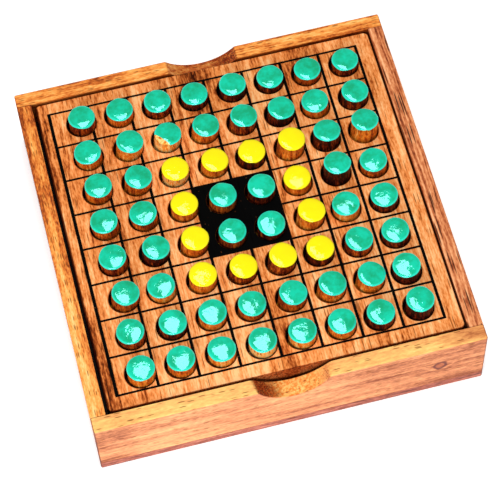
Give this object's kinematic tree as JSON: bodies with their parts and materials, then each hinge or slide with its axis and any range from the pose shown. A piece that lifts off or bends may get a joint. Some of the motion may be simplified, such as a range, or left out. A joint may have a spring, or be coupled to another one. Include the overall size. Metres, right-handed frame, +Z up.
{
  "type": "two-colour peg board game",
  "caption": "Square wooden box with finger notches and a lift-out drilled board on which players stand two-colour pegs and turn them over.",
  "frame": {"origin": "middle of the box's underside", "axes": "+X to the player's right, +Y away from the player, +Z up"},
  "size_m": [0.172, 0.1724, 0.0454],
  "materials": {
    "front_rail_wood": "oiled, close-grained hardwood",
    "rear_rail_wood": "oiled, close-grained hardwood",
    "left_rail_wood": "oiled, close-grained hardwood",
    "right_rail_wood": "oiled, close-grained hardwood",
    "base_wood": "oiled, close-grained hardwood",
    "ledge_wood": "oiled, close-grained hardwood",
    "board_wood": "oiled, close-grained hardwood",
    "peg_green": "dowel with a glossy green painted end up and a yellow one down",
    "peg_yellow": "dowel with a glossy yellow painted end up and a green one down"
  },
  "bodies": {
    "box": {"base_panel": "base_wood", "front_rail": "front_rail_wood", "rear_rail": "rear_rail_wood", "left_rail": "left_rail_wood", "right_rail": "right_rail_wood", "front_ledge": "ledge_wood", "rear_ledge": "ledge_wood", "left_ledge": "ledge_wood", "right_ledge": "ledge_wood"},
    "board": {"peg_board": "board_wood"},
    "pegs_rear_row": {"pegs_rear_row": "peg_green"},
    "peg_a2": {"peg_a2": "peg_green"},
    "peg_b2": {"peg_b2": "peg_green"},
    "peg_c2": {"peg_c2": "peg_green"},
    "peg_d2": {"peg_d2": "peg_green"},
    "peg_e2": {"peg_e2": "peg_green"},
    "peg_f2": {"peg_f2": "peg_green"},
    "peg_g2": {"peg_g2": "peg_green"},
    "peg_h2": {"peg_h2": "peg_green"},
    "peg_a3": {"peg_a3": "peg_green"},
    "peg_b3": {"peg_b3": "peg_green"},
    "peg_c3": {"peg_c3": "peg_yellow"},
    "peg_d3": {"peg_d3": "peg_yellow"},
    "peg_e3": {"peg_e3": "peg_yellow"},
    "peg_f3": {"peg_f3": "peg_yellow"},
    "peg_g3": {"peg_g3": "peg_green"},
    "peg_h3": {"peg_h3": "peg_green"},
    "peg_a4": {"peg_a4": "peg_green"},
    "peg_b4": {"peg_b4": "peg_green"},
    "peg_c4": {"peg_c4": "peg_yellow"},
    "peg_d4": {"peg_d4": "peg_green"},
    "peg_e4": {"peg_e4": "peg_green"},
    "peg_f4": {"peg_f4": "peg_yellow"},
    "peg_g4": {"peg_g4": "peg_green"},
    "peg_h4": {"peg_h4": "peg_green"},
    "peg_a5": {"peg_a5": "peg_green"},
    "peg_b5": {"peg_b5": "peg_green"},
    "peg_c5": {"peg_c5": "peg_yellow"},
    "peg_d5": {"peg_d5": "peg_green"},
    "peg_e5": {"peg_e5": "peg_green"},
    "peg_f5": {"peg_f5": "peg_yellow"},
    "peg_g5": {"peg_g5": "peg_green"},
    "peg_h5": {"peg_h5": "peg_green"},
    "peg_a6": {"peg_a6": "peg_green"},
    "peg_b6": {"peg_b6": "peg_green"},
    "peg_c6": {"peg_c6": "peg_yellow"},
    "peg_d6": {"peg_d6": "peg_yellow"},
    "peg_e6": {"peg_e6": "peg_yellow"},
    "peg_f6": {"peg_f6": "peg_yellow"},
    "peg_g6": {"peg_g6": "peg_green"},
    "peg_h6": {"peg_h6": "peg_green"},
    "peg_a7": {"peg_a7": "peg_green"},
    "peg_b7": {"peg_b7": "peg_green"},
    "peg_c7": {"peg_c7": "peg_green"},
    "peg_d7": {"peg_d7": "peg_green"},
    "peg_e7": {"peg_e7": "peg_green"},
    "peg_f7": {"peg_f7": "peg_green"},
    "peg_g7": {"peg_g7": "peg_green"},
    "peg_h7": {"peg_h7": "peg_green"},
    "pegs_front_row": {"pegs_front_row": "peg_green"}
  },
  "joints": [
    {"name": "board_lift", "type": "slide", "parent": "box", "child": "board", "axis": [0, 0, 1], "range_m": [0, 0.05]},
    {"name": "pegs_rear_row_lift", "type": "slide", "parent": "board", "child": "pegs_rear_row", "axis": [0, 0, 1], "range_m": [0, 0.015]},
    {"name": "peg_a2_lift", "type": "slide", "parent": "board", "child": "peg_a2", "axis": [-0.0549, -0.0175, 0.9983], "range_m": [0, 0.015]},
    {"name": "peg_b2_lift", "type": "slide", "parent": "board", "child": "peg_b2", "axis": [0.0925, -0.009, 0.9957], "range_m": [0, 0.015]},
    {"name": "peg_c2_lift", "type": "slide", "parent": "board", "child": "peg_c2", "axis": [0.0925, -0.009, 0.9957], "range_m": [0, 0.015]},
    {"name": "peg_d2_lift", "type": "slide", "parent": "board", "child": "peg_d2", "axis": [0.0925, -0.009, 0.9957], "range_m": [0, 0.015]},
    {"name": "peg_e2_lift", "type": "slide", "parent": "board", "child": "peg_e2", "axis": [0.0925, -0.009, 0.9957], "range_m": [0, 0.015]},
    {"name": "peg_f2_lift", "type": "slide", "parent": "board", "child": "peg_f2", "axis": [0.0925, -0.009, 0.9957], "range_m": [0, 0.015]},
    {"name": "peg_g2_lift", "type": "slide", "parent": "board", "child": "peg_g2", "axis": [-0.0549, -0.0175, 0.9983], "range_m": [0, 0.015]},
    {"name": "peg_h2_lift", "type": "slide", "parent": "board", "child": "peg_h2", "axis": [0.035, -0.0175, 0.9992], "range_m": [0, 0.015]},
    {"name": "peg_a3_lift", "type": "slide", "parent": "board", "child": "peg_a3", "axis": [0.035, -0.0175, 0.9992], "range_m": [0, 0.015]},
    {"name": "peg_b3_lift", "type": "slide", "parent": "board", "child": "peg_b3", "axis": [0.0925, -0.009, 0.9957], "range_m": [0, 0.015]},
    {"name": "peg_c3_lift", "type": "slide", "parent": "board", "child": "peg_c3", "axis": [0.035, -0.0175, 0.9992], "range_m": [0, 0.015]},
    {"name": "peg_d3_lift", "type": "slide", "parent": "board", "child": "peg_d3", "axis": [0.0925, -0.009, 0.9957], "range_m": [0, 0.015]},
    {"name": "peg_e3_lift", "type": "slide", "parent": "board", "child": "peg_e3", "axis": [0.035, -0.0175, 0.9992], "range_m": [0, 0.015]},
    {"name": "peg_f3_lift", "type": "slide", "parent": "board", "child": "peg_f3", "axis": [0.0925, -0.009, 0.9957], "range_m": [0, 0.015]},
    {"name": "peg_g3_lift", "type": "slide", "parent": "board", "child": "peg_g3", "axis": [0.0349, 0.0723, 0.9968], "range_m": [0, 0.015]},
    {"name": "peg_h3_lift", "type": "slide", "parent": "board", "child": "peg_h3", "axis": [0.0349, 0.0723, 0.9968], "range_m": [0, 0.015]},
    {"name": "peg_a4_lift", "type": "slide", "parent": "board", "child": "peg_a4", "axis": [-0.0549, -0.0175, 0.9983], "range_m": [0, 0.015]},
    {"name": "peg_b4_lift", "type": "slide", "parent": "board", "child": "peg_b4", "axis": [-0.0549, -0.0175, 0.9983], "range_m": [0, 0.015]},
    {"name": "peg_c4_lift", "type": "slide", "parent": "board", "child": "peg_c4", "axis": [0.035, -0.0175, 0.9992], "range_m": [0, 0.015]},
    {"name": "peg_d4_lift", "type": "slide", "parent": "board", "child": "peg_d4", "axis": [0.035, -0.0175, 0.9992], "range_m": [0, 0.015]},
    {"name": "peg_e4_lift", "type": "slide", "parent": "board", "child": "peg_e4", "axis": [0.035, -0.0175, 0.9992], "range_m": [0, 0.015]},
    {"name": "peg_f4_lift", "type": "slide", "parent": "board", "child": "peg_f4", "axis": [-0.0549, -0.0175, 0.9983], "range_m": [0, 0.015]},
    {"name": "peg_g4_lift", "type": "slide", "parent": "board", "child": "peg_g4", "axis": [0.0349, 0.0723, 0.9968], "range_m": [0, 0.015]},
    {"name": "peg_h4_lift", "type": "slide", "parent": "board", "child": "peg_h4", "axis": [-0.0549, -0.0175, 0.9983], "range_m": [0, 0.015]},
    {"name": "peg_a5_lift", "type": "slide", "parent": "board", "child": "peg_a5", "axis": [-0.0549, -0.0175, 0.9983], "range_m": [0, 0.015]},
    {"name": "peg_b5_lift", "type": "slide", "parent": "board", "child": "peg_b5", "axis": [0.0925, -0.009, 0.9957], "range_m": [0, 0.015]},
    {"name": "peg_c5_lift", "type": "slide", "parent": "board", "child": "peg_c5", "axis": [0.0925, -0.009, 0.9957], "range_m": [0, 0.015]},
    {"name": "peg_d5_lift", "type": "slide", "parent": "board", "child": "peg_d5", "axis": [0.035, -0.0175, 0.9992], "range_m": [0, 0.015]},
    {"name": "peg_e5_lift", "type": "slide", "parent": "board", "child": "peg_e5", "axis": [0.0227, -0.09, 0.9957], "range_m": [0, 0.015]},
    {"name": "peg_f5_lift", "type": "slide", "parent": "board", "child": "peg_f5", "axis": [0.0925, -0.009, 0.9957], "range_m": [0, 0.015]},
    {"name": "peg_g5_lift", "type": "slide", "parent": "board", "child": "peg_g5", "axis": [-0.0549, -0.0175, 0.9983], "range_m": [0, 0.015]},
    {"name": "peg_h5_lift", "type": "slide", "parent": "board", "child": "peg_h5", "axis": [-0.0549, -0.0175, 0.9983], "range_m": [0, 0.015]},
    {"name": "peg_a6_lift", "type": "slide", "parent": "board", "child": "peg_a6", "axis": [0.0925, -0.009, 0.9957], "range_m": [0, 0.015]},
    {"name": "peg_b6_lift", "type": "slide", "parent": "board", "child": "peg_b6", "axis": [-0.0549, -0.0175, 0.9983], "range_m": [0, 0.015]},
    {"name": "peg_c6_lift", "type": "slide", "parent": "board", "child": "peg_c6", "axis": [0.035, -0.0175, 0.9992], "range_m": [0, 0.015]},
    {"name": "peg_d6_lift", "type": "slide", "parent": "board", "child": "peg_d6", "axis": [0.0925, -0.009, 0.9957], "range_m": [0, 0.015]},
    {"name": "peg_e6_lift", "type": "slide", "parent": "board", "child": "peg_e6", "axis": [0.0925, -0.009, 0.9957], "range_m": [0, 0.015]},
    {"name": "peg_f6_lift", "type": "slide", "parent": "board", "child": "peg_f6", "axis": [0.035, -0.0175, 0.9992], "range_m": [0, 0.015]},
    {"name": "peg_g6_lift", "type": "slide", "parent": "board", "child": "peg_g6", "axis": [0.035, -0.0175, 0.9992], "range_m": [0, 0.015]},
    {"name": "peg_h6_lift", "type": "slide", "parent": "board", "child": "peg_h6", "axis": [-0.0549, -0.0175, 0.9983], "range_m": [0, 0.015]},
    {"name": "peg_a7_lift", "type": "slide", "parent": "board", "child": "peg_a7", "axis": [-0.0549, -0.0175, 0.9983], "range_m": [0, 0.015]},
    {"name": "peg_b7_lift", "type": "slide", "parent": "board", "child": "peg_b7", "axis": [0.035, -0.0175, 0.9992], "range_m": [0, 0.015]},
    {"name": "peg_c7_lift", "type": "slide", "parent": "board", "child": "peg_c7", "axis": [0.035, -0.0175, 0.9992], "range_m": [0, 0.015]},
    {"name": "peg_d7_lift", "type": "slide", "parent": "board", "child": "peg_d7", "axis": [0.035, -0.0175, 0.9992], "range_m": [0, 0.015]},
    {"name": "peg_e7_lift", "type": "slide", "parent": "board", "child": "peg_e7", "axis": [0.0925, -0.009, 0.9957], "range_m": [0, 0.015]},
    {"name": "peg_f7_lift", "type": "slide", "parent": "board", "child": "peg_f7", "axis": [0.0925, -0.009, 0.9957], "range_m": [0, 0.015]},
    {"name": "peg_g7_lift", "type": "slide", "parent": "board", "child": "peg_g7", "axis": [0.0925, -0.009, 0.9957], "range_m": [0, 0.015]},
    {"name": "peg_h7_lift", "type": "slide", "parent": "board", "child": "peg_h7", "axis": [-0.0549, -0.0175, 0.9983], "range_m": [0, 0.015]},
    {"name": "pegs_front_row_lift", "type": "slide", "parent": "board", "child": "pegs_front_row", "axis": [0, 0, 1], "range_m": [0, 0.015]}
  ]
}
